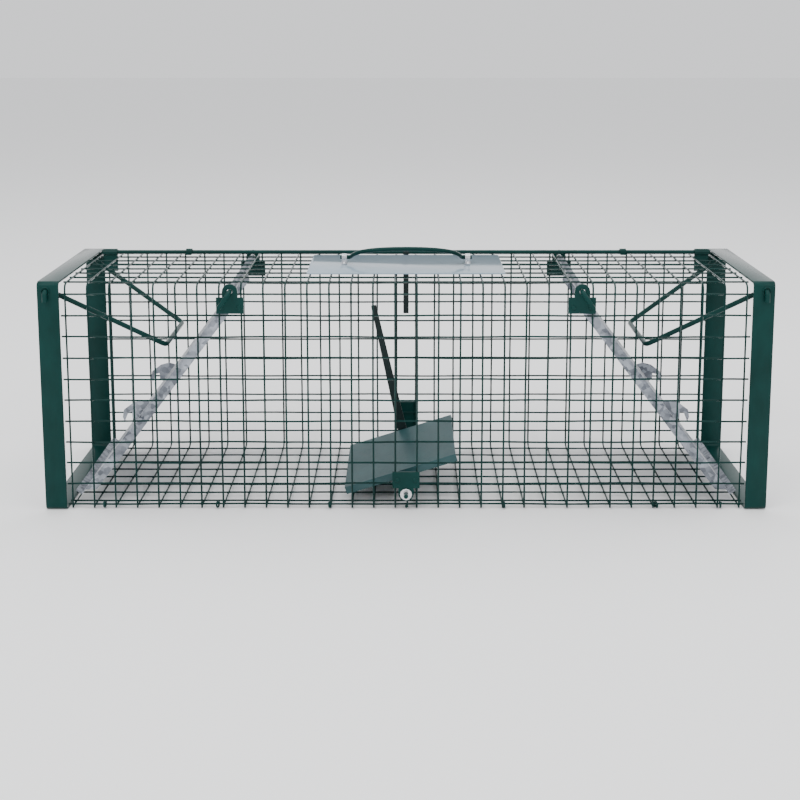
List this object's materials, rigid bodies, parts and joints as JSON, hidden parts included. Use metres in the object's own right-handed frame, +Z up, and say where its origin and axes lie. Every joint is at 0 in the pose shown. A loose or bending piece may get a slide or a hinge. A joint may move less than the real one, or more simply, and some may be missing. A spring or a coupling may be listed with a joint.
{
  "type": "live catch trap",
  "caption": "Wire mesh tunnel trap with a sloping drop door and wire lock bail at each end, a central treadle, a trip bar and a carrying handle on the roof.",
  "frame": {"origin": "on the floor under the middle of the trap", "axes": "+X along the tunnel to the right door, +Y across it towards the rear wall, +Z up"},
  "size_m": [0.85, 0.2386, 0.3022],
  "materials": {
    "green_paint": "gloss powder coat",
    "green_wire": "gloss powder coat on wire",
    "galvanised": "galvanised",
    "zinc": "bright zinc plate",
    "pan_paint": "satin powder coat",
    "black_steel": "satin"
  },
  "bodies": {
    "cage": {"carrying_plate": "pan_paint", "floor_mesh": "green_wire", "front_mesh": "green_wire", "left_bar_saddle": "green_paint", "left_end_frame": "green_paint", "left_front_hinge_bracket": "green_paint", "left_handle_clip": "zinc", "left_rear_hinge_bracket": "green_paint", "rear_mesh": "green_wire", "right_bar_saddle": "green_paint", "right_end_frame": "green_paint", "right_front_hinge_bracket": "green_paint", "right_handle_clip": "zinc", "right_rear_hinge_bracket": "green_paint", "roof_mesh": "green_wire", "seam_ring_1": "green_paint", "seam_ring_2": "green_paint", "seam_ring_3": "green_paint", "seam_ring_4": "green_paint", "seam_ring_5": "green_paint", "seam_ring_6": "green_paint", "seam_ring_7": "green_paint", "treadle_front_bracket": "green_paint", "treadle_rear_bracket": "green_paint"},
    "left_door": {"left_door_front_hook": "galvanised", "left_door_hinge_rod": "green_paint", "left_door_rear_hook": "galvanised", "left_door_sheet": "galvanised"},
    "right_door": {"right_door_front_hook": "galvanised", "right_door_hinge_rod": "green_paint", "right_door_rear_hook": "galvanised", "right_door_sheet": "galvanised"},
    "left_bail": {"left_lock_bail": "green_paint"},
    "right_bail": {"right_lock_bail": "green_paint"},
    "treadle": {"pan_saddle_front": "green_paint", "pan_saddle_rear": "green_paint", "treadle_lever": "black_steel", "treadle_pan": "pan_paint", "treadle_push_nut_front": "zinc", "treadle_push_nut_rear": "zinc", "treadle_rod": "green_paint"},
    "trip": {"left_drop_plate": "green_paint", "right_drop_plate": "green_paint", "trip_bar": "green_paint", "trip_link": "black_steel"},
    "handle": {"handle": "green_paint"}
  },
  "joints": [
    {"name": "left_door_open", "type": "hinge", "parent": "cage", "child": "left_door", "pos_m": [-0.203, 0, 0.2635], "axis": [0, 1, 0], "range_deg": [0, 42]},
    {"name": "right_door_open", "type": "hinge", "parent": "cage", "child": "right_door", "pos_m": [0.203, 0, 0.2635], "axis": [0, -1, 0], "range_deg": [0, 42]},
    {"name": "left_bail_lift", "type": "hinge", "parent": "cage", "child": "left_bail", "pos_m": [-0.415, 0, 0.264], "axis": [0, -1, 0], "range_deg": [0, 32.5]},
    {"name": "right_bail_lift", "type": "hinge", "parent": "cage", "child": "right_bail", "pos_m": [0.415, 0, 0.264], "axis": [0, 1, 0], "range_deg": [0, 32.5]},
    {"name": "treadle_tilt", "type": "hinge", "parent": "cage", "child": "treadle", "pos_m": [0, 0, 0.02], "axis": [0, 1, 0], "range_deg": [0, 28]},
    {"name": "trip_turn", "type": "hinge", "parent": "cage", "child": "trip", "pos_m": [0, 0.0635, 0.2778], "axis": [-1, 0, 0], "range_deg": [0, 25]},
    {"name": "handle_lift", "type": "hinge", "parent": "cage", "child": "handle", "pos_m": [0, -0.004, 0.284], "axis": [-1, 0, 0], "range_deg": [0, 62]}
  ],
  "couplings": [
    {"joint": "left_bail_lift", "follows": "left_door_open", "ratio": 0.77},
    {"joint": "right_bail_lift", "follows": "right_door_open", "ratio": 0.77}
  ]
}
